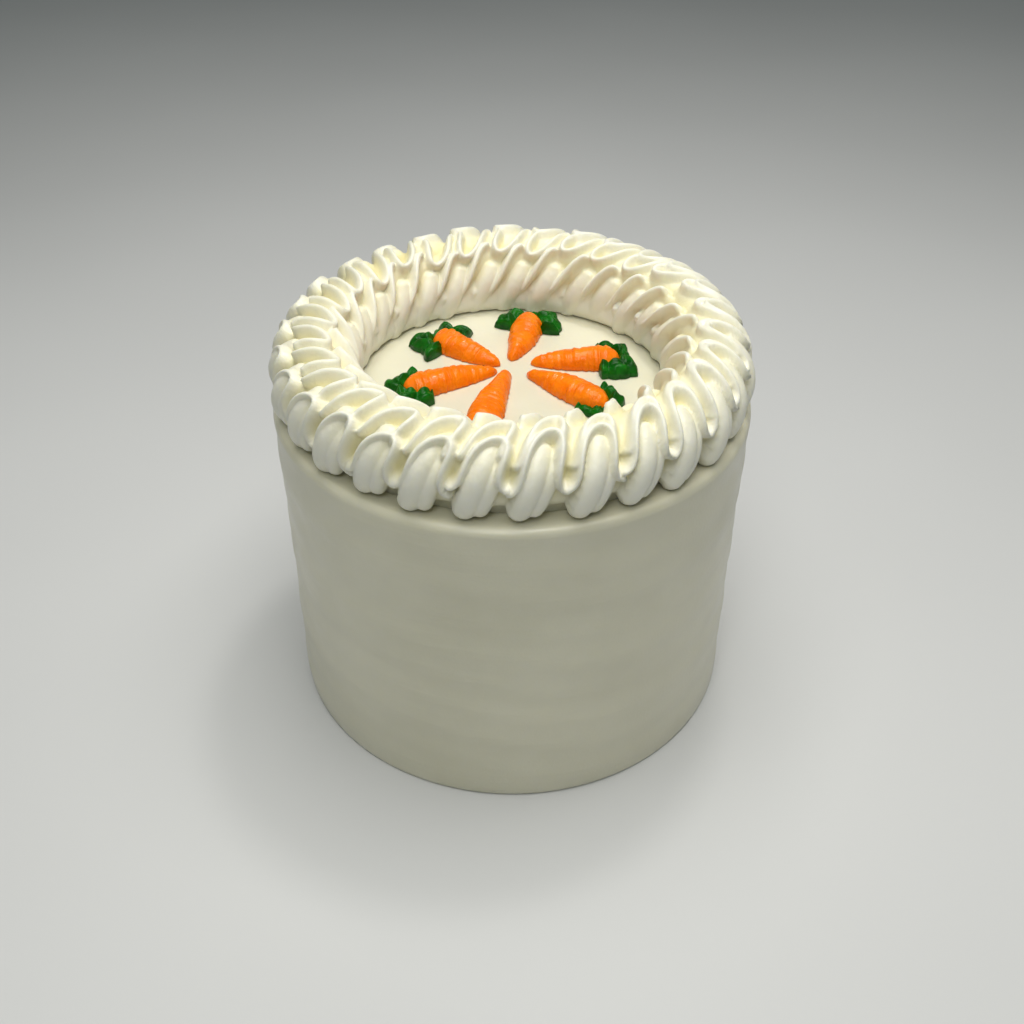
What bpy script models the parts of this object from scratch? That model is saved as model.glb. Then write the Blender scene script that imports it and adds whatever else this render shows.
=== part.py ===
"""A frosted carrot cake: a tall round cake under smooth icing, a rope of icing piped round
its top edge, and six piped carrots with leafy tops lying on it like the spokes of a wheel.

Metres, +Z up. The origin is the middle of the flat underside, and -Y is the front.
"""

import math

import bpy
import numpy as np

# The frosted cake
CAKE_RADIUS = 0.0812
CAKE_HEIGHT = 0.1175
RIM_ROUNDING = 0.0028
FOOT_ROUNDING = 0.0010
CAKE_STEPS = 48

# The piped border, a rope laid in leaning loops on a ring. Section angles are in degrees,
# 0 facing out, 90 up and 180 in, and reaches are from the middle of the section.
PIPED_LOOPS = 29
RING_RADIUS = 0.0654
RING_CENTRE_HEIGHT = 0.0128
CORE_REACH = 0.0092
FOOT_REACH = 0.0124
INNER_FOOT_REACH = 0.0162
SECTION_RADIUS = 0.0130
STROKE_LEAN = 2.05
LEAN_FROM = -50
LEAN_TO = 238
LEAN_BACK_AT = 262
FRONT_PHASE = -0.07
SEED = 5
UNEVENNESS = 0.8
ROUGH_PLACE = 10
ROUGH_EXTRA = 1.3
ROUGH_SPREAD = 1.7
STEPS_PER_LOOP = 7
SHOWN_SECTIONS = (-56, 236, 15)
HIDDEN_SECTIONS = (256, 288, 3)
LIP_HALF_WIDTH = 0.0019
LIP_FLANK = 0.0034
SMOOTHING = 0.0004

# A lip waves between two section angles, which drift and stray round the cake
LINE_POINTS = 29
TURN_ROUNDNESS = 0.075
ARCH_WIDENING = 0.055
RISE_FULLNESS = 0.03
LEAN_STRAY = 0.05
REACH_STRAY = 0.0005
OUTER_WAVE = {
    "low": -4, "high": 70, "place": 0.0, "lean": 0.32, "reach": 0.0142, "fade": 0.0,
    "from": 0.0, "to": 1.0, "stray": 8, "drift_right": 24, "drift_back": 0,
}
FOLD_WAVE = {
    "low": 44, "high": 114, "place": 0.0, "lean": 0.45, "reach": 0.0138, "fade": 0.0010,
    "from": 0.10, "to": 0.88, "stray": 9, "drift_right": -6, "drift_back": 20,
}
INNER_WAVE = {
    "low": 118, "high": 204, "place": 0.3, "lean": 0.95, "reach": 0.0140, "fade": 0.0,
    "from": 0.0, "to": 0.62, "stray": 9, "drift_right": 0, "drift_back": 6,
}

# A fat lobe comes out from under an arch and runs to the foot
OUTER_LOBE = {
    "top": 52, "foot": -40, "place": 0.66, "lean": -0.40,
    "top_reach": 0.0122, "foot_reach": 0.0176, "half_width": 0.0043, "depth": 0.0042,
}
INNER_LOBE = {
    "top": 160, "foot": 228, "place": 1.2, "lean": 0.60,
    "top_reach": 0.0124, "foot_reach": 0.0178, "half_width": 0.0041, "depth": 0.0044,
}

# The carrots, each with the place of its tip, its length and the way that it points
CARROTS = (
    (0.0065, 0.0131, 0.0315, 2),
    (-0.0002, 0.0151, 0.0300, 76),
    (-0.0042, 0.0116, 0.0297, 142),
    (-0.0051, 0.0076, 0.0347, 205),
    (-0.0015, 0.0071, 0.0430, 256),
    (0.0052, 0.0060, 0.0346, 319),
)
CARROT_HALF_WIDTH = 0.0056
CARROT_THICKNESS = 0.0058
CARROT_RINGS = 9
CARROT_SIDES = 7

# The leafy tops, bands that fan out round each carrot's thick end, with the outline of one
# half as (angle from the carrot's line in degrees, reach) and the size of each top
LEAF_OUTLINE = ((0, 0.0085), (42, 0.0136), (68, 0.0104), (98, 0.0116), (112, 0.0090))
LEAF_SIZES = (1, 1, 1, 1, 0.8, 0.75)
LEAF_THICKNESS = 0.0042
LEAF_LEAST_REACH = 0.0082
LEAF_ANGLES = (-112, -98, -83, -68, -55, -42, -21, 0, 21, 42, 55, 68, 83, 98, 112)

GAP = 0.0003
TOP = CAKE_HEIGHT + GAP
TURN = 2 * math.pi


def clear_scene():
    for item in list(bpy.data.objects):
        bpy.data.objects.remove(item, do_unlink=True)


def icing_material(name, colour, roughness):
    material = bpy.data.materials.new(name)
    material.use_nodes = True
    shader = material.node_tree.nodes["Principled BSDF"]
    shader.inputs["Base Color"].default_value = (*colour, 1)
    shader.inputs["Roughness"].default_value = roughness
    shader.inputs["Metallic"].default_value = 0
    return material


def add_solid(name, points, faces, material):
    mesh = bpy.data.meshes.new(name)
    mesh.from_pydata([tuple(map(float, point)) for point in points], [], faces)
    mesh.validate()
    mesh.shade_smooth()
    mesh.set_sharp_from_angle(angle=math.radians(50))
    mesh.materials.append(material)
    solid = bpy.data.objects.new(name, mesh)
    bpy.context.scene.collection.objects.link(solid)
    return solid


def ring_faces(rings, sides, closed):
    """Quads between successive rings of points. When closed, the last ring meets the first."""
    faces = []
    for ring in range(rings if closed else rings - 1):
        after = (ring + 1) % rings
        for side in range(sides):
            turn = (side + 1) % sides
            faces.append((ring * sides + side, after * sides + side, after * sides + turn, ring * sides + turn))
    return faces


# The frosted cake ---------------------------------------------------------------------------


def cake_outline():
    """(radius, height) points from the underside's edge, up the side and over the rim."""
    outline = [(CAKE_RADIUS - FOOT_ROUNDING, 0), (CAKE_RADIUS, FOOT_ROUNDING)]
    for step in range(5):
        angle = math.radians(90 * step / 4)
        radius = CAKE_RADIUS - RIM_ROUNDING * (1 - math.cos(angle))
        height = CAKE_HEIGHT - RIM_ROUNDING * (1 - math.sin(angle))
        outline.append((radius, height))
    return outline


def frosted_cake(material):
    outline = cake_outline()
    points = []
    for radius, height in outline:
        for step in range(CAKE_STEPS):
            angle = TURN * step / CAKE_STEPS
            points.append((radius * math.cos(angle), radius * math.sin(angle), height))
    faces = [face[::-1] for face in ring_faces(len(outline), CAKE_STEPS, False)]
    last = (len(outline) - 1) * CAKE_STEPS
    faces.append(tuple(reversed(range(CAKE_STEPS))))
    faces.append(tuple(range(last, last + CAKE_STEPS)))
    return add_solid("frosted_cake", points, faces, material)


# The piped border ---------------------------------------------------------------------------


def ease(value):
    value = np.clip(value, 0, 1)
    return value * value * (3 - 2 * value)


def smooth_max(first, second, blend):
    share = np.clip(0.5 + 0.5 * (first - second) / blend, 0, 1)
    return second + (first - second) * share + blend * share * (1 - share)


def wave_line(wave, loop, wobble):
    """One wave of a lip: up from its knee, round its apex and down towards the next knee.

    It gives places along the ring in loops, section angles and reaches.
    """
    phase = np.linspace(wave["from"], wave["to"], LINE_POINTS)
    rise = (1 - np.cos(TURN * phase)) / 2
    round_turns = TURN_ROUNDNESS * np.sin(2 * TURN * phase)
    wide_arch = -ARCH_WIDENING * np.sin(TURN * phase)
    full_rise = -RISE_FULLNESS * (1 - np.cos(2 * TURN * phase))
    places = loop + wave["place"] + phase + (wave["lean"] + LEAN_STRAY * wobble[2]) * rise
    places += round_turns + wide_arch + full_rise
    angle = TURN * loop / PIPED_LOOPS
    drift = wave["drift_right"] * math.sin(angle) - wave["drift_back"] * math.cos(angle)
    low = wave["low"] + drift + wave["stray"] * wobble[5]
    high = wave["high"] + drift + wave["stray"] * wobble[0]
    sections = low + (high - low) * rise
    reaches = wave["reach"] + REACH_STRAY * wobble[1] * rise - wave["fade"] * (1 - rise) ** 2
    return places, sections, reaches


def lobe_line(lobe, loop, wobble):
    """The middle of a fat lobe, from under an arch to the foot of the border."""
    along = np.linspace(0, 1, 9)
    places = loop + lobe["place"] + lobe["lean"] * along**1.2 + LEAN_STRAY * wobble[3]
    sections = lobe["top"] + (lobe["foot"] - lobe["top"]) * along
    foot_reach = lobe["foot_reach"] + REACH_STRAY * wobble[4]
    reaches = lobe["top_reach"] + (foot_reach - lobe["top_reach"]) * along**1.1
    return places, sections, reaches


def nearest_on_line(places, sections, line):
    """Distance in metres over the ring's surface to a line, and the line's reach there."""
    distance = np.full(places.shape, 1.0)
    reach = np.zeros(places.shape)
    local_radius = RING_RADIUS + SECTION_RADIUS * np.cos(np.radians(sections))
    place_scale = TURN / PIPED_LOOPS * local_radius
    section_scale = math.radians(1) * SECTION_RADIUS
    line_places, line_sections, line_reaches = line
    for i in range(len(line_places) - 1):
        step_x = (line_places[i + 1] - line_places[i]) * place_scale
        step_y = (line_sections[i + 1] - line_sections[i]) * section_scale
        away_x = (places - line_places[i]) * place_scale
        away_y = (sections - line_sections[i]) * section_scale
        share = np.clip((away_x * step_x + away_y * step_y) / (step_x**2 + step_y**2), 0, 1)
        here = np.hypot(away_x - share * step_x, away_y - share * step_y)
        closer = here < distance
        distance = np.where(closer, here, distance)
        reach = np.where(closer, line_reaches[i] + (line_reaches[i + 1] - line_reaches[i]) * share, reach)
    return distance, reach


def lip(core, distance, reach):
    """A lip with a rounded edge and hollow flanks."""
    edge = np.exp(-((distance / LIP_HALF_WIDTH) ** 4))
    flank = np.exp(-((distance / LIP_FLANK) ** 1.5))
    return core + (reach - core) * (edge + flank) / 2


def bulge(distance, reach, lobe):
    """A round-backed lobe, far below the surface outside its width."""
    inside = np.sqrt(np.maximum(1 - (distance / lobe["half_width"]) ** 2, 0))
    return np.where(distance < lobe["half_width"], reach - lobe["depth"] * (1 - inside), -1)


def border_reach(places, sections):
    """How far the border stands out from the middle of its section, at each point."""
    foot = np.where(sections > 90, INNER_FOOT_REACH, FOOT_REACH)
    core = CORE_REACH + (foot - CORE_REACH) * ease(-1.4 * np.sin(np.radians(sections)))
    lips = core.copy()
    lobes = np.full(core.shape, -1.0)
    wobbles = np.random.default_rng(SEED).uniform(-UNEVENNESS, UNEVENNESS, (PIPED_LOOPS, 6))
    # The rope starts and ends at the rough place, where the hand is least steady.
    from_rough_place = (np.arange(PIPED_LOOPS) - ROUGH_PLACE) / ROUGH_SPREAD
    wobbles *= 1 + ROUGH_EXTRA * np.exp(-(from_rough_place**2))[:, None]
    for loop in range(PIPED_LOOPS):
        wobble = wobbles[loop]
        # The nearest copy of each point, so that the ring has no seam.
        near = (places - loop - 1 + PIPED_LOOPS / 2) % PIPED_LOOPS + loop + 1 - PIPED_LOOPS / 2
        for wave in (OUTER_WAVE, FOLD_WAVE, INNER_WAVE):
            distance, reach = nearest_on_line(near, sections, wave_line(wave, loop, wobble))
            lips = np.maximum(lips, lip(core, distance, reach))
        for lobe in (OUTER_LOBE, INNER_LOBE):
            distance, reach = nearest_on_line(near, sections, lobe_line(lobe, loop, wobble))
            lobes = np.maximum(lobes, bulge(distance, reach, lobe))
    return smooth_max(lips, lobes, SMOOTHING)


def piped_border(material):
    columns = PIPED_LOOPS * STEPS_PER_LOOP
    around = np.arange(columns) / STEPS_PER_LOOP
    sections = np.concatenate([np.linspace(*SHOWN_SECTIONS), np.linspace(*HIDDEN_SECTIONS)])
    # The columns lean with the strokes over the top, and come back under the ring.
    over_top = np.clip((sections - LEAN_FROM) / (LEAN_TO - LEAN_FROM), 0, 1)
    back_under = np.clip((sections - LEAN_TO) / (LEAN_BACK_AT - LEAN_TO), 0, 1)
    lean = STROKE_LEAN * over_top * (1 - back_under)
    places = around[:, None] + lean[None, :]
    sections = np.broadcast_to(sections, places.shape)
    reach = border_reach(places, sections)
    angle = (places + FRONT_PHASE) * TURN / PIPED_LOOPS
    radius = RING_RADIUS + reach * np.cos(np.radians(sections))
    height = np.maximum(RING_CENTRE_HEIGHT + reach * np.sin(np.radians(sections)), 0)
    points = np.stack([radius * np.sin(angle), -radius * np.cos(angle), TOP + height], axis=-1)
    faces = ring_faces(columns, sections.shape[1], True)
    return add_solid("piped_border", points.reshape(-1, 3), faces, material)


# The carrots and their tops -----------------------------------------------------------------


def carrot_width(along):
    """Half the carrot's width at a share of its length, from the tip to the round thick end."""
    taper = 0.22 + 0.78 * math.sin(math.pi / 2 * min(along / 0.72, 1))
    end = math.sqrt(max(1 - ((along - 0.82) / 0.18) ** 2, 0)) if along > 0.82 else 1
    return CARROT_HALF_WIDTH * taper * max(end, 0.35)


def place_on_top(points, origin, direction):
    """Turns points made along +X to a direction in degrees, and moves them to an origin."""
    cosine = math.cos(math.radians(direction))
    sine = math.sin(math.radians(direction))
    return [(origin[0] + x * cosine - y * sine, origin[1] + x * sine + y * cosine, z) for x, y, z in points]


def carrot(name, tip, length, direction, material):
    points = []
    for ring in range(CARROT_RINGS):
        along = ring / (CARROT_RINGS - 1)
        half_width = carrot_width(along) * (1 + 0.05 * (-1) ** ring)
        thickness = CARROT_THICKNESS * (half_width / CARROT_HALF_WIDTH) ** 0.8
        for side in range(CARROT_SIDES):
            angle = math.pi * side / (CARROT_SIDES - 1)
            points.append((along * length, half_width * math.cos(angle), TOP + thickness * math.sin(angle)))
    faces = ring_faces(CARROT_RINGS, CARROT_SIDES, False)
    last = (CARROT_RINGS - 1) * CARROT_SIDES
    faces.append(tuple(range(CARROT_SIDES)))
    faces.append(tuple(reversed(range(last, last + CARROT_SIDES))))
    faces = [face[::-1] for face in faces]
    return add_solid(name, place_on_top(points, tip, direction), faces, material)


def carrot_top(name, tip, length, direction, size, material):
    """A band of leaves round a carrot's thick end, with two pointed lobes on each side."""
    inner = CARROT_HALF_WIDTH + 2 * GAP
    centre = length - CARROT_HALF_WIDTH
    corner_angles, corner_reaches = zip(*LEAF_OUTLINE)
    points = []
    for angle in LEAF_ANGLES:
        outer = max(size * float(np.interp(abs(angle), corner_angles, corner_reaches)), LEAF_LEAST_REACH)
        cosine = math.cos(math.radians(angle))
        sine = math.sin(math.radians(angle))
        section = (
            (inner, 0),
            (inner + 0.0004, LEAF_THICKNESS * 0.8),
            ((inner + outer) / 2, LEAF_THICKNESS),
            (outer - 0.0004, LEAF_THICKNESS * 0.5),
            (outer, 0),
        )
        points += [(centre + radius * cosine, radius * sine, TOP + height) for radius, height in section]
    corners = len(section)
    faces = ring_faces(len(LEAF_ANGLES), corners, False)
    last = (len(LEAF_ANGLES) - 1) * corners
    faces.append(tuple(range(corners)))
    faces.append(tuple(reversed(range(last, last + corners))))
    faces = [face[::-1] for face in faces]
    return add_solid(name, place_on_top(points, tip, direction), faces, material)


def main():
    clear_scene()
    icing = icing_material("cream_icing", (0.80, 0.78, 0.64), 0.45)
    piping = icing_material("piped_icing", (0.88, 0.86, 0.72), 0.50)
    orange = icing_material("orange_icing", (0.90, 0.22, 0.01), 0.35)
    green = icing_material("green_icing", (0.005, 0.10, 0.02), 0.30)
    frosted_cake(icing)
    piped_border(piping)
    for number, (x, y, length, direction) in enumerate(CARROTS, start=1):
        carrot(f"carrot_{number}", (x, y), length, direction, orange)
        carrot_top(f"carrot_top_{number}", (x, y), length, direction, LEAF_SIZES[number - 1], green)


main()
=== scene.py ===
"""Looks of the carrot cake: smooth cream icing, a piped rope border, piped carrots and their tops.

Metres, +Z up, in the frame of the CAD model. -Y is the front.
"""

import math

import bpy
import numpy as np
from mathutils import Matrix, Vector


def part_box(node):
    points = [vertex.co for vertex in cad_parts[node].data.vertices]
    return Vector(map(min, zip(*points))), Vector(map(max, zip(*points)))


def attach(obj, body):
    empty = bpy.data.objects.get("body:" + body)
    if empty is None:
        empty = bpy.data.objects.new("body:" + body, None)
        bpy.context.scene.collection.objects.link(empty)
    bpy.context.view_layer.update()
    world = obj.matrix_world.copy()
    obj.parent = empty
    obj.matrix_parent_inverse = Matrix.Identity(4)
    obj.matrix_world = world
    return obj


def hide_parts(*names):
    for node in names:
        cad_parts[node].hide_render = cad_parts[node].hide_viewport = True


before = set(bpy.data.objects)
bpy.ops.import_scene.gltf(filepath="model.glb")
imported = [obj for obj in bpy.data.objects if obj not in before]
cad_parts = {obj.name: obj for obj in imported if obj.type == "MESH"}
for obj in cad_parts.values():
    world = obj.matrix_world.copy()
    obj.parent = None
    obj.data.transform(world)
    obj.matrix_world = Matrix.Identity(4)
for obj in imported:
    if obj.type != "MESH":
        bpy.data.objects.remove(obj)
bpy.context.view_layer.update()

TURN = 2 * math.pi
SEED = 5

CAKE_LOW, CAKE_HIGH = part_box("frosted_cake")
CAKE_RADIUS = CAKE_HIGH.x
CAKE_TOP = CAKE_HIGH.z
GAP = 0.0003

# The piped border: a rope of icing laid in leaning loops on a ring. Section angles are in
# degrees, 0 facing out, 90 up and 180 in, and reaches are from the middle of the section.
PIPED_LOOPS = 29
RING_RADIUS = 0.0654
RING_CENTRE_HEIGHT = 0.0128
CORE_REACH = 0.0088
FOOT_REACH = 0.0124
INNER_FOOT_REACH = 0.0172
STROKE_LEAN = 2.05
FRONT_PHASE = -0.07
STEPS_PER_LOOP = 34
SHOWN_SECTIONS = (-56, 236, 95)
HIDDEN_SECTIONS = (246, 294, 5)
ROUGH_PLACE = 10
ROUGH_EXTRA = 1.3
ROUGH_SPREAD = 1.7
SECTION_RADIUS = 0.013
LEAN_FROM = -50
LEAN_TO = 238
LEAN_BACK_AT = 262
SMOOTHING = 0.0003

# A lip waves between two section angles, which drift and stray round the cake
LINE_POINTS = 29
TURN_ROUNDNESS = 0.075
ARCH_WIDENING = 0.055
RISE_FULLNESS = 0.03
LEAN_STRAY = 0.05
REACH_STRAY = 0.0005
OUTER_WAVE = {
    "low": -4, "high": 70, "place": 0.0, "lean": 0.32, "reach": 0.0146, "fade": 0.0,
    "from": 0.0, "to": 1.0, "stray": 8, "drift_right": 24, "drift_back": 0,
}
FOLD_WAVE = {
    "low": 44, "high": 114, "place": 0.0, "lean": 0.45, "reach": 0.0142, "fade": 0.0010,
    "from": 0.10, "to": 0.88, "stray": 9, "drift_right": -6, "drift_back": 20,
}
INNER_WAVE = {
    "low": 118, "high": 204, "place": 0.3, "lean": 0.95, "reach": 0.0144, "fade": 0.0,
    "from": 0.0, "to": 0.62, "stray": 9, "drift_right": 0, "drift_back": 6,
}

# A fat lobe comes out from under an arch and runs to the foot
FOOT_STRAY = 0.0006
OUTER_LOBE = {
    "top": 54, "foot": -40, "place": 0.62, "lean": -0.40,
    "top_reach": 0.0124, "foot_reach": 0.0176, "half_width": 0.0038, "depth": 0.0036,
}
SMALL_LOBE = {
    "top": 40, "foot": -40, "place": 0.84, "lean": -0.36,
    "top_reach": 0.0114, "foot_reach": 0.0166, "half_width": 0.0030, "depth": 0.0028,
}
INNER_LOBE = {
    "top": 160, "foot": 228, "place": 1.2, "lean": 0.60,
    "top_reach": 0.0124, "foot_reach": 0.0184, "half_width": 0.0041, "depth": 0.0044,
}

# The shape of a lip across its edge
LIP_REACH = 0.0144
LIP_HALF_WIDTH = 0.0014
LIP_STEEP_REACH = 0.0019
LIP_SOFT_REACH_LOW = 0.0020
LIP_SOFT_REACH_HIGH = 0.0050
LIP_EDGE_SHARE = 0.45


# The cake's side and rim
CAKE_STEPS = 360
RIM_ROUNDING = 0.0028
SWELL_DEPTH = 0.00034
BAND_DEPTH = 0.00018

# Carrots, and their tops as (angle from the carrot's line in degrees, reach) of the outline
CARROT_HALF_WIDTH = 0.0058
CARROT_THICKNESS = 0.0060
CARROT_RINGS = 150
CARROT_SIDES = 40
CARROT_CRINKLES = 10
CRINKLE_DEPTH = 0.045
LEAF_OUTLINE = ((0, 0.0078), (42, 0.0140), (68, 0.0104), (98, 0.0118), (112, 0.0066), (180, 0.0030))
LEAF_SIZES = (1, 1, 1, 1, 0.8, 0.75)
LEAF_THICKNESS = 0.0042
LEAF_STEPS = 180
LEAF_RINGS = 30
LEAF_RUFFLES = 10

# Colours, as linear red, green and blue
CREAM_DARK = (0.68, 0.65, 0.50)
CREAM_LIGHT = (0.75, 0.72, 0.57)
# Painted shade: the piping's colour runs from the lip colour on the lips, through the face colour, into the
# two darker, yellower shaded colours down in the folds
PIPING_LIP = (0.87, 0.85, 0.74)
PIPING_FACE = (0.86, 0.82, 0.62)
PIPING_HOLLOW_SHADE = (0.81, 0.74, 0.40)
PIPING_FOLD_SHADE = (0.66, 0.54, 0.16)
CLOUD_SHARE = 0.25
ORANGE_DARK = (0.88, 0.165, 0.001)
ORANGE_LIGHT = (0.94, 0.225, 0.003)
GREEN_DARK = (0.001, 0.060, 0.001)
GREEN_LIGHT = (0.005, 0.135, 0.005)

# The stage and the camera. Lights are: name, place, width, height, watts and colour
FLOOR_WIDTH = 6
CAMERA_PLACE = (0, -0.3330, 0.3208)
CAMERA_TILT_DOWN = 37.316
CAMERA_LENS = 39.8
CAMERA_SHIFT = -0.0105
WORLD_COLOUR = (0.84, 1.0, 0.99, 1)
WORLD_STRENGTH = 0.10
LIGHTS = (
    ("overhead", (0.04, -0.02, 0.85), 0.60, 0.60, 5.4, (1.0, 0.985, 0.94)),
    ("front", (-0.10, -0.60, 0.85), 0.30, 0.30, 1.7, (0.97, 1.0, 0.97)),
    ("spark", (0.10, 0.16, 0.80), 0.08, 0.08, 0.8, (1.0, 0.985, 0.94)),
)


# Small helpers ------------------------------------------------------------------------------


def ease(value):
    """Rises smoothly from 0 to 1 as the value does."""
    value = np.clip(value, 0, 1)
    return value * value * (3 - 2 * value)


def smooth_max(first, second, blend):
    """The larger of two heights, rounded where they meet."""
    share = np.clip(0.5 + 0.5 * (first - second) / blend, 0, 1)
    return second + (first - second) * share + blend * share * (1 - share)


def add_piece(name, points, faces, material, node):
    """A smooth mesh on the cake that shows in place of a CAD node."""
    mesh = bpy.data.meshes.new(name)
    mesh.from_pydata(np.asarray(points, float).tolist(), [], faces)
    mesh.validate()
    mesh.shade_smooth()
    mesh.materials.append(material)
    piece = bpy.data.objects.new(name, mesh)
    bpy.context.scene.collection.objects.link(piece)
    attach(piece, "root")
    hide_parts(node)
    return piece


def grid_faces(rows, columns, rows_closed, columns_closed):
    """Quads of a grid whose points run along the columns first."""
    row = np.arange(rows if rows_closed else rows - 1)[:, None]
    column = np.arange(columns if columns_closed else columns - 1)[None, :]
    next_row = (row + 1) % rows
    next_column = (column + 1) % columns
    corners = (row, column), (next_row, column), (next_row, next_column), (row, next_column)
    faces = np.stack([a * columns + b for a, b in corners], axis=-1)
    return [tuple(face) for face in faces.reshape(-1, 4).tolist()]


# The piped border ---------------------------------------------------------------------------


def wave_line(wave, loop, wobble):
    """One wave of a lip: up from its knee, round its apex and down towards the next knee."""
    phase = np.linspace(wave["from"], wave["to"], LINE_POINTS)
    rise = (1 - np.cos(TURN * phase)) / 2
    round_turns = TURN_ROUNDNESS * np.sin(2 * TURN * phase)
    wide_arch = -ARCH_WIDENING * np.sin(TURN * phase)
    full_rise = -RISE_FULLNESS * (1 - np.cos(2 * TURN * phase))
    places = loop + wave["place"] + phase + (wave["lean"] + LEAN_STRAY * wobble[2]) * rise
    places += round_turns + wide_arch + full_rise
    angle = TURN * loop / PIPED_LOOPS
    drift = wave["drift_right"] * math.sin(angle) - wave["drift_back"] * math.cos(angle)
    low = wave["low"] + drift + wave["stray"] * wobble[5]
    high = wave["high"] + drift + wave["stray"] * wobble[0]
    sections = low + (high - low) * rise
    reaches = wave["reach"] + REACH_STRAY * wobble[1] * rise - wave["fade"] * (1 - rise) ** 2
    return places, sections, reaches


def lobe_line(lobe, loop, wobble):
    """The middle of a fat lobe, from under an arch to the foot of the border."""
    along = np.linspace(0, 1, 9)
    places = loop + lobe["place"] + lobe["lean"] * along**1.2 + LEAN_STRAY * wobble[3]
    sections = lobe["top"] + (lobe["foot"] - lobe["top"]) * along
    foot_reach = lobe["foot_reach"] + FOOT_STRAY * wobble[4]
    reaches = lobe["top_reach"] + (foot_reach - lobe["top_reach"]) * along**1.1
    return places, sections, reaches


def nearest_on_line(places, sections, line):
    """Distance in metres over the ring's surface to a line, the line's reach there and the side."""
    distance = np.full(places.shape, 1.0)
    reach = np.zeros(places.shape)
    side = np.zeros(places.shape)
    local_radius = RING_RADIUS + SECTION_RADIUS * np.cos(np.radians(sections))
    place_scale = TURN / PIPED_LOOPS * local_radius
    section_scale = math.radians(1) * SECTION_RADIUS
    line_places, line_sections, line_reaches = line
    for i in range(len(line_places) - 1):
        step_x = (line_places[i + 1] - line_places[i]) * place_scale
        step_y = (line_sections[i + 1] - line_sections[i]) * section_scale
        away_x = (places - line_places[i]) * place_scale
        away_y = (sections - line_sections[i]) * section_scale
        share = np.clip((away_x * step_x + away_y * step_y) / (step_x**2 + step_y**2), 0, 1)
        here = np.hypot(away_x - share * step_x, away_y - share * step_y)
        closer = here < distance
        distance = np.where(closer, here, distance)
        reach = np.where(closer, line_reaches[i] + (line_reaches[i + 1] - line_reaches[i]) * share, reach)
        side = np.where(closer, np.sign(away_x * step_y - away_y * step_x), side)
    return distance, reach, side


def lip(core, distance, reach, side, sections):
    """A lip with a rounded edge: it drops steeply on its right and runs out softly on its left."""
    soft_reach = LIP_SOFT_REACH_LOW + (LIP_SOFT_REACH_HIGH - LIP_SOFT_REACH_LOW) * ease(sections / 110)
    edge = np.exp(-((distance / LIP_HALF_WIDTH) ** 4))
    steep = np.exp(-((distance / LIP_STEEP_REACH) ** 2))
    soft = np.exp(-((distance / soft_reach) ** 1.5))
    flank = np.where(side > 0, steep, soft)
    return core + (reach - core) * (LIP_EDGE_SHARE * edge + (1 - LIP_EDGE_SHARE) * flank)


def bulge(distance, reach, lobe):
    """A round-backed lobe, far below the surface outside its width."""
    inside = np.sqrt(np.maximum(1 - (distance / lobe["half_width"]) ** 2, 0))
    return np.where(distance < lobe["half_width"], reach - lobe["depth"] * (1 - inside), -1)


def border_reach(around, places, sections):
    """How far the border stands out from the middle of its section, at each point."""
    foot = np.where(sections > 90, INNER_FOOT_REACH, FOOT_REACH)
    core = CORE_REACH + (foot - CORE_REACH) * ease(-1.4 * np.sin(np.radians(sections)))
    lips = core.copy()
    lobes = np.full(core.shape, -1.0)
    wobbles = np.random.default_rng(SEED).uniform(-1, 1, (PIPED_LOOPS, 6))
    # The rope starts and ends at the rough place, where the hand is least steady.
    from_rough_place = (np.arange(PIPED_LOOPS) - ROUGH_PLACE) / ROUGH_SPREAD
    wobbles *= 1 + ROUGH_EXTRA * np.exp(-(from_rough_place**2))[:, None]
    columns = len(around)
    for loop in range(PIPED_LOOPS):
        wobble = wobbles[loop]
        first = int((loop - 1.4 - STROKE_LEAN) * STEPS_PER_LOOP)
        last = int((loop + 3.0) * STEPS_PER_LOOP)
        near = np.arange(first, last)
        rows = near % columns
        shift = ((near - rows) // STEPS_PER_LOOP)[:, None]
        near_places = places[rows] + shift
        near_sections = sections[rows]
        near_core = core[rows]
        for wave in (OUTER_WAVE, FOLD_WAVE, INNER_WAVE):
            line = wave_line(wave, loop, wobble)
            distance, reach, side = nearest_on_line(near_places, near_sections, line)
            lips[rows] = np.maximum(lips[rows], lip(near_core, distance, reach, side, near_sections))
        for lobe in (OUTER_LOBE, SMALL_LOBE, INNER_LOBE):
            line = lobe_line(lobe, loop, wobble)
            distance, reach, _ = nearest_on_line(near_places, near_sections, line)
            lobes[rows] = np.maximum(lobes[rows], bulge(distance, reach, lobe))
    return smooth_max(lips, lobes, SMOOTHING)


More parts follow.
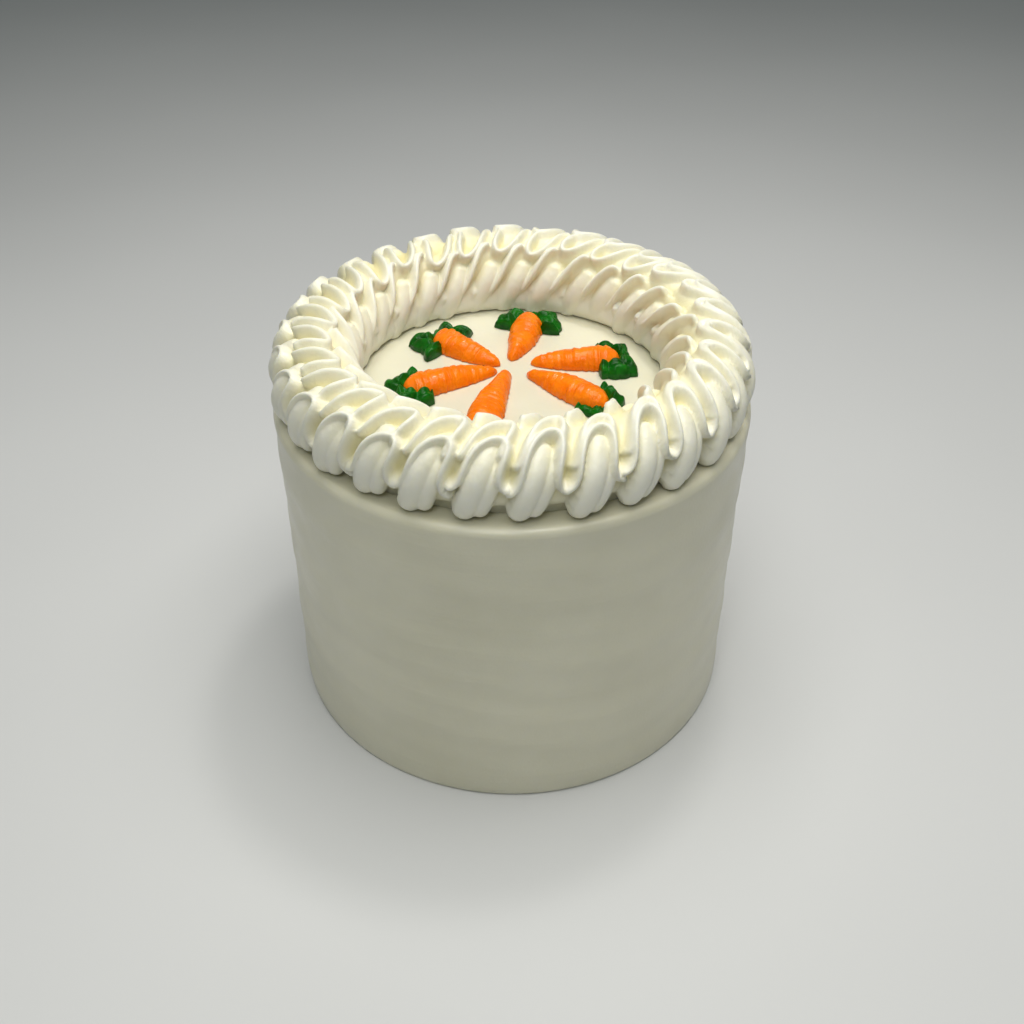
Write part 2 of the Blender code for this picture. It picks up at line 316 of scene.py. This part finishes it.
def piped_border(material):
    columns = PIPED_LOOPS * STEPS_PER_LOOP
    around = np.arange(columns) / STEPS_PER_LOOP
    sections = np.concatenate([np.linspace(*SHOWN_SECTIONS), np.linspace(*HIDDEN_SECTIONS)])
    # The columns lean with the strokes over the top, and come back under the ring.
    over_top = np.clip((sections - LEAN_FROM) / (LEAN_TO - LEAN_FROM), 0, 1)
    back_under = np.clip((sections - LEAN_TO) / (LEAN_BACK_AT - LEAN_TO), 0, 1)
    lean = STROKE_LEAN * over_top * (1 - back_under)
    places = around[:, None] + lean[None, :]
    sections = np.broadcast_to(sections, places.shape)
    angle = (places + FRONT_PHASE) * TURN / PIPED_LOOPS
    reach = border_reach(around, places, sections)
    radius = RING_RADIUS + reach * np.cos(np.radians(sections))
    height = np.maximum(RING_CENTRE_HEIGHT + reach * np.sin(np.radians(sections)), 0)
    points = np.stack([radius * np.sin(angle), -radius * np.cos(angle), CAKE_TOP + GAP + height], axis=-1)
    faces = grid_faces(columns, sections.shape[1], True, True)
    piece = add_piece("border", points.reshape(-1, 3), faces, material, "piped_border")
    # Painted shade: how far each point lies below a lip, stored on the mesh so that the piping's colour
    # turns darker and yellower down in the folds
    fold_shade = np.clip((LIP_REACH - reach) / (LIP_REACH - CORE_REACH), 0, 1)
    attribute = piece.data.attributes.new("fold_shade", "FLOAT", "POINT")
    attribute.data.foreach_set("value", fold_shade.astype(np.float32).ravel())
    return piece


# The cake -----------------------------------------------------------------------------------


def cake_outline():
    """(radius, height) from the foot up the side and over the rim, then in to the middle."""
    outline = [(CAKE_RADIUS * 0.5, 0.0), (CAKE_RADIUS - 0.0012, 0.0), (CAKE_RADIUS - 0.0003, 0.0004)]
    outline += [(CAKE_RADIUS, height) for height in np.linspace(0.0012, CAKE_TOP - RIM_ROUNDING, 110)]
    for angle in np.radians(np.linspace(8, 90, 10)):
        inward = RIM_ROUNDING * (1 - math.cos(angle))
        outline.append((CAKE_RADIUS - inward, CAKE_TOP - RIM_ROUNDING * (1 - math.sin(angle))))
    outline += [(radius, CAKE_TOP) for radius in np.linspace(CAKE_RADIUS - RIM_ROUNDING - 0.002, 0.004, 40)]
    return np.array(outline)


def spatula_swells(angle, height):
    """How far the side bulges: slow swells, and flatter bands that climb a little round the cake."""
    swells = np.sin(3 * angle + 22 * height) + 0.7 * np.sin(5 * angle - 35 * height + 1.0)
    climb = height + 0.004 * np.sin(angle + 0.6) + 0.002 * np.sin(4 * angle)
    bands = np.sin(TURN * climb / 0.031 + 0.8) + 0.6 * np.sin(TURN * climb / 0.013 + 2 * angle)
    return SWELL_DEPTH * swells + BAND_DEPTH * bands


def cake_body(material):
    """The iced cake: a turned outline with the unevenness that a spatula leaves."""
    outline = cake_outline()
    radius, height = outline[:, :1], outline[:, 1:]
    angle = (np.arange(CAKE_STEPS) * TURN / CAKE_STEPS)[None, :]
    # The swells fade towards the foot and the rim, and the top is flat.
    share = np.clip(np.minimum(height / 0.006, (CAKE_TOP - height) / 0.005), 0, 1)
    share = share * (radius > 0.9 * CAKE_RADIUS)
    radius = radius + spatula_swells(angle, height) * share
    heights = np.broadcast_to(height, radius.shape)
    rings = np.stack([radius * np.sin(angle), -radius * np.cos(angle), heights], axis=-1)
    points = np.concatenate([rings.reshape(-1, 3), [(0, 0, 0), (0, 0, CAKE_TOP)]])
    faces = [face[::-1] for face in grid_faces(len(outline), CAKE_STEPS, False, True)]
    bottom = len(points) - 2
    top = len(points) - 1
    last = (len(outline) - 1) * CAKE_STEPS
    for i in range(CAKE_STEPS):
        j = (i + 1) % CAKE_STEPS
        faces.append((bottom, j, i))
        faces.append((top, last + i, last + j))
    return add_piece("cake", points, faces, material, "frosted_cake")


# Carrots and their tops ---------------------------------------------------------------------


def node_axis(node):
    """(tip, direction, length) of a long CAD node on the cake's top, its tip towards the middle."""
    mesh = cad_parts[node].data
    points = np.array([tuple(vertex.co) for vertex in mesh.vertices])[:, :2]
    centre = points.mean(axis=0)
    direction = np.linalg.svd(points - centre)[2][0]
    if direction @ centre < 0:
        direction = -direction
    along = (points - centre) @ direction
    tip = centre + direction * along.min()
    return tip, direction, along.max() - along.min()


def place_on_top(origin, direction, x, y, z):
    """Points made along +X, turned to a direction on the cake's top."""
    across = np.array([-direction[1], direction[0]])
    return np.stack([
        origin[0] + x * direction[0] + y * across[0],
        origin[1] + x * direction[1] + y * across[1],
        CAKE_TOP + GAP + z,
    ], axis=-1)


def carrot(number, material):
    """A piped carrot: a tapering half-round stroke with soft, uneven crinkles."""
    tip, direction, length = node_axis(f"carrot_{number}")
    rng = np.random.default_rng(SEED + number)
    along = np.linspace(0, 1, CARROT_RINGS)[:, None]
    angle = np.linspace(0, math.pi, CARROT_SIDES)[None, :]
    taper = 0.26 + 0.74 * np.sin(math.pi / 2 * np.minimum(along / 0.74, 1))
    end = np.sqrt(np.maximum(1 - (np.maximum(along - 0.78, 0) / 0.22) ** 2, 0))
    start = np.sqrt(np.minimum(along / 0.06, 1))
    turns = CARROT_CRINKLES * length / 0.030
    swing = rng.uniform(0, TURN, 4)
    phase = TURN * turns * along + 0.9 * np.sin(TURN * 2.2 * along + swing[0]) + 1.1 * np.sin(angle)
    strength = 0.55 + 0.45 * np.sin(TURN * 3.1 * along + 2 * angle + swing[1])
    crinkles = 1 + CRINKLE_DEPTH * strength * (np.sin(phase) + 0.35 * np.sin(2.3 * phase + swing[2]))
    lumps = 1 + 0.035 * np.sin(TURN * 1.6 * along + 3 * angle + swing[3])
    size = taper * end * start
    bend = 0.0008 * np.sin(math.pi * along) * np.sin(swing[0])
    y = bend + CARROT_HALF_WIDTH * size * crinkles * lumps * np.cos(angle)
    z = CARROT_THICKNESS * size**0.8 * crinkles * lumps * np.sin(angle)
    x = np.broadcast_to(along * length, y.shape)
    points = place_on_top(tip, direction, x, y, z).reshape(-1, 3)
    faces = [face[::-1] for face in grid_faces(CARROT_RINGS, CARROT_SIDES, False, True)]
    return add_piece(f"carrot_{number}_piping", points, faces, material, f"carrot_{number}")


def leafy_top(number, material):
    """Two ruffled lobes with pointed corners round the thick end of a carrot."""
    tip, direction, length = node_axis(f"carrot_{number}")
    centre = tip + direction * (length - CARROT_HALF_WIDTH)
    rng = np.random.default_rng(SEED + 20 + number)
    angle = np.linspace(-180, 180, LEAF_STEPS, endpoint=False)[:, None]
    share = np.linspace(1, 0, LEAF_RINGS + 1)[None, :-1]
    corner_angles, corner_reaches = np.array(LEAF_OUTLINE).T
    reach = np.interp(np.abs(angle), corner_angles, corner_reaches)
    turns = np.radians(angle)
    swing = rng.uniform(0, TURN, 4)
    uneven = 1 + 0.09 * np.sin(2 * turns + swing[0]) + 0.06 * np.sin(5 * turns + swing[1])
    teeth = np.abs(np.sin(LEAF_RUFFLES / 2 * turns + swing[2] + 0.8 * share))
    reach = reach * uneven * (0.95 + 0.10 * teeth * share) * LEAF_SIZES[number - 1]
    ruffle = 0.66 + 0.34 * teeth**0.7 + 0.10 * np.sin(7 * share * TURN / 2 + 3 * turns + swing[3])
    lift = 1 + 0.5 * share * (1 + np.sin(turns + swing[0])) / 2
    height = LEAF_THICKNESS * ruffle * lift * (1 - share**5) ** 0.5
    x = reach * share * np.cos(turns)
    y = reach * share * np.sin(turns)
    # The leaves lie low where the carrot's thick end is.
    from_carrot = np.hypot(np.maximum(x, 0), y)
    height = height * (0.2 + 0.8 * ease((from_carrot - 0.0042) / 0.0030))
    points = place_on_top(centre, direction, x, y, height).reshape(-1, 3)
    middle = place_on_top(centre, direction, np.zeros(2), np.zeros(2), np.array([0.0, LEAF_THICKNESS * 0.4]))
    points = np.concatenate([points, middle])
    faces = grid_faces(LEAF_STEPS, LEAF_RINGS, True, False)
    bottom = len(points) - 2
    top = len(points) - 1
    for i in range(LEAF_STEPS):
        j = (i + 1) % LEAF_STEPS
        faces.append((bottom, j * LEAF_RINGS, i * LEAF_RINGS))
        faces.append((top, (i + 1) * LEAF_RINGS - 1, (j + 1) * LEAF_RINGS - 1))
    name = f"carrot_top_{number}_leaves"
    return add_piece(name, points, faces, material, f"carrot_top_{number}")


# Materials ----------------------------------------------------------------------------------


def new_material(name):
    material = bpy.data.materials.new(name)
    material.use_nodes = True
    return material, material.node_tree, material.node_tree.nodes["Principled BSDF"]


def noise(tree, scale, detail, stretch=(1, 1, 1)):
    """The value of a noise in metres of the object's own space."""
    place = tree.nodes.new("ShaderNodeTexCoord")
    mapping = tree.nodes.new("ShaderNodeMapping")
    mapping.inputs["Scale"].default_value = stretch
    texture = tree.nodes.new("ShaderNodeTexNoise")
    texture.inputs["Scale"].default_value = scale
    texture.inputs["Detail"].default_value = detail
    tree.links.new(place.outputs["Object"], mapping.inputs["Vector"])
    tree.links.new(mapping.outputs["Vector"], texture.inputs["Vector"])
    return texture.outputs["Fac"]


def ramp(tree, value, stops):
    """Colours at places between 0 and 1."""
    node = tree.nodes.new("ShaderNodeValToRGB")
    elements = node.color_ramp.elements
    for _ in range(len(stops) - 2):
        elements.new(0.5)
    for element, (place, colour) in zip(elements, stops):
        element.position = place
        element.color = (*colour, 1)
    tree.links.new(value, node.inputs["Fac"])
    return node.outputs["Color"]


def mix(tree, share, first, second):
    node = tree.nodes.new("ShaderNodeMix")
    node.data_type = "RGBA"
    tree.links.new(share, node.inputs["Factor"])
    tree.links.new(first, node.inputs[6])
    tree.links.new(second, node.inputs[7])
    return node.outputs[2]


def number_range(tree, value, low, high):
    """Maps the middle of a noise to a range."""
    node = tree.nodes.new("ShaderNodeMapRange")
    node.inputs["From Min"].default_value = 0.3
    node.inputs["From Max"].default_value = 0.7
    node.inputs["To Min"].default_value = low
    node.inputs["To Max"].default_value = high
    tree.links.new(value, node.inputs["Value"])
    return node.outputs["Result"]


def add_bumps(tree, shader, bumps):
    """Chains bumps of (height, depth in metres)."""
    normal = None
    for height, depth in bumps:
        bump = tree.nodes.new("ShaderNodeBump")
        bump.inputs["Strength"].default_value = 1.0
        bump.inputs["Distance"].default_value = depth
        tree.links.new(height, bump.inputs["Height"])
        if normal is not None:
            tree.links.new(normal, bump.inputs["Normal"])
        normal = bump.outputs["Normal"]
    tree.links.new(normal, shader.inputs["Normal"])


def set_gloss(shader, subsurface, scatter, coat, coat_roughness, specular=0.5):
    shader.inputs["Specular IOR Level"].default_value = specular
    shader.inputs["Subsurface Weight"].default_value = subsurface
    shader.inputs["Subsurface Radius"].default_value = scatter
    shader.inputs["Subsurface Scale"].default_value = 0.002
    shader.inputs["Coat Weight"].default_value = coat
    shader.inputs["Coat Roughness"].default_value = coat_roughness


def cream_material():
    """Smoothed cream cheese icing: faint clouds, spatula streaks and a soft gloss."""
    material, tree, shader = new_material("cream_icing")
    clouds = noise(tree, 28, 4)
    colour = ramp(tree, clouds, [(0.3, CREAM_DARK), (0.7, CREAM_LIGHT)])
    tree.links.new(colour, shader.inputs["Base Color"])
    tree.links.new(number_range(tree, noise(tree, 60, 3), 0.30, 0.50), shader.inputs["Roughness"])
    streaks = noise(tree, 30, 5, (1, 1, 14))
    add_bumps(tree, shader, [(streaks, 0.0002), (noise(tree, 900, 3), 0.00006)])
    set_gloss(shader, 0.25, (1.0, 0.90, 0.50), 0.30, 0.22)
    return material


def piping_material():
    """Piped icing: whiter on the lips and a painted shade, darker and yellower, down in the folds, with a
    fine torn grain.
    """
    material, tree, shader = new_material("piped_icing")
    fold_shade = tree.nodes.new("ShaderNodeAttribute")
    fold_shade.attribute_name = "fold_shade"
    # Painted shade: the colour darkens and yellows from the lips down into the folds
    stops = [(0.0, PIPING_LIP), (0.45, PIPING_FACE), (0.85, PIPING_HOLLOW_SHADE), (1.0, PIPING_FOLD_SHADE)]
    painted_shade_colour = ramp(tree, fold_shade.outputs["Fac"], stops)
    clouds = ramp(tree, noise(tree, 90, 3), [(0.3, PIPING_FACE), (0.7, PIPING_LIP)])
    share = tree.nodes.new("ShaderNodeValue")
    share.outputs[0].default_value = CLOUD_SHARE
    tree.links.new(mix(tree, share.outputs[0], painted_shade_colour, clouds), shader.inputs["Base Color"])
    tree.links.new(number_range(tree, noise(tree, 150, 3), 0.34, 0.55), shader.inputs["Roughness"])
    add_bumps(tree, shader, [(noise(tree, 260, 3, (1, 1, 0.35)), 0.00045), (noise(tree, 1300, 3), 0.00007)])
    set_gloss(shader, 0.25, (1.0, 0.90, 0.50), 0.12, 0.30)
    return material


def coloured_material(name, dark, light, roughness, coat):
    """Dyed icing: wet, a little streaky, with small bubbles and crumbs."""
    material, tree, shader = new_material(name)
    colour = ramp(tree, noise(tree, 220, 4), [(0.35, dark), (0.65, light)])
    tree.links.new(colour, shader.inputs["Base Color"])
    tree.links.new(number_range(tree, noise(tree, 300, 3), *roughness), shader.inputs["Roughness"])
    add_bumps(tree, shader, [(noise(tree, 420, 3), 0.0005), (noise(tree, 1500, 2), 0.00008)])
    set_gloss(shader, 0.05, (1.0, 0.35, 0.08), coat, 0.08, 0.15)
    return material


def floor_material():
    """A pale seamless studio floor with a barely mottled surface."""
    material, tree, shader = new_material("floor")
    colour = ramp(tree, noise(tree, 3, 2), [(0.3, (0.64, 0.64, 0.64)), (0.7, (0.68, 0.68, 0.68))])
    tree.links.new(colour, shader.inputs["Base Color"])
    shader.inputs["Roughness"].default_value = 0.8
    return material


# Stage --------------------------------------------------------------------------------------


def stage():
    """A pale floor, a faint sky and soft lights."""
    mesh = bpy.data.meshes.new("floor")
    half = FLOOR_WIDTH / 2
    corners = [(-half, -half, 0), (half, -half, 0), (half, half, 0), (-half, half, 0)]
    mesh.from_pydata(corners, [], [(0, 1, 2, 3)])
    floor = bpy.data.objects.new("floor", mesh)
    bpy.context.scene.collection.objects.link(floor)
    mesh.materials.append(floor_material())
    world = bpy.data.worlds.new("studio")
    world.use_nodes = True
    world.node_tree.nodes["Background"].inputs["Color"].default_value = WORLD_COLOUR
    world.node_tree.nodes["Background"].inputs["Strength"].default_value = WORLD_STRENGTH
    bpy.context.scene.world = world
    for light in LIGHTS:
        add_light(*light)


def add_light(name, location, width, height, power, colour):
    light = bpy.data.lights.new(name, "AREA")
    light.shape = "RECTANGLE"
    light.size = width
    light.size_y = height
    light.energy = power
    light.color = colour
    lamp = bpy.data.objects.new(name, light)
    lamp.location = location
    aim = Vector((0, 0, 0.1)) - lamp.location
    lamp.rotation_euler = aim.to_track_quat("-Z", "Y").to_euler()
    bpy.context.scene.collection.objects.link(lamp)


def camera():
    data = bpy.data.cameras.new("camera")
    data.sensor_width = 36
    data.lens = CAMERA_LENS
    data.shift_y = CAMERA_SHIFT
    eye = bpy.data.objects.new("camera", data)
    eye.location = CAMERA_PLACE
    eye.rotation_euler = (math.radians(90 - CAMERA_TILT_DOWN), 0, 0)
    bpy.context.scene.collection.objects.link(eye)
    bpy.context.scene.camera = eye


bpy.context.scene.view_settings.view_transform = "Standard"
cake_body(cream_material())
piped_border(piping_material())
orange = coloured_material("orange_icing", ORANGE_DARK, ORANGE_LIGHT, (0.24, 0.38), 0.20)
green = coloured_material("green_icing", GREEN_DARK, GREEN_LIGHT, (0.26, 0.42), 0.06)
for number in range(1, 7):
    carrot(number, orange)
    leafy_top(number, green)
camera()
stage()
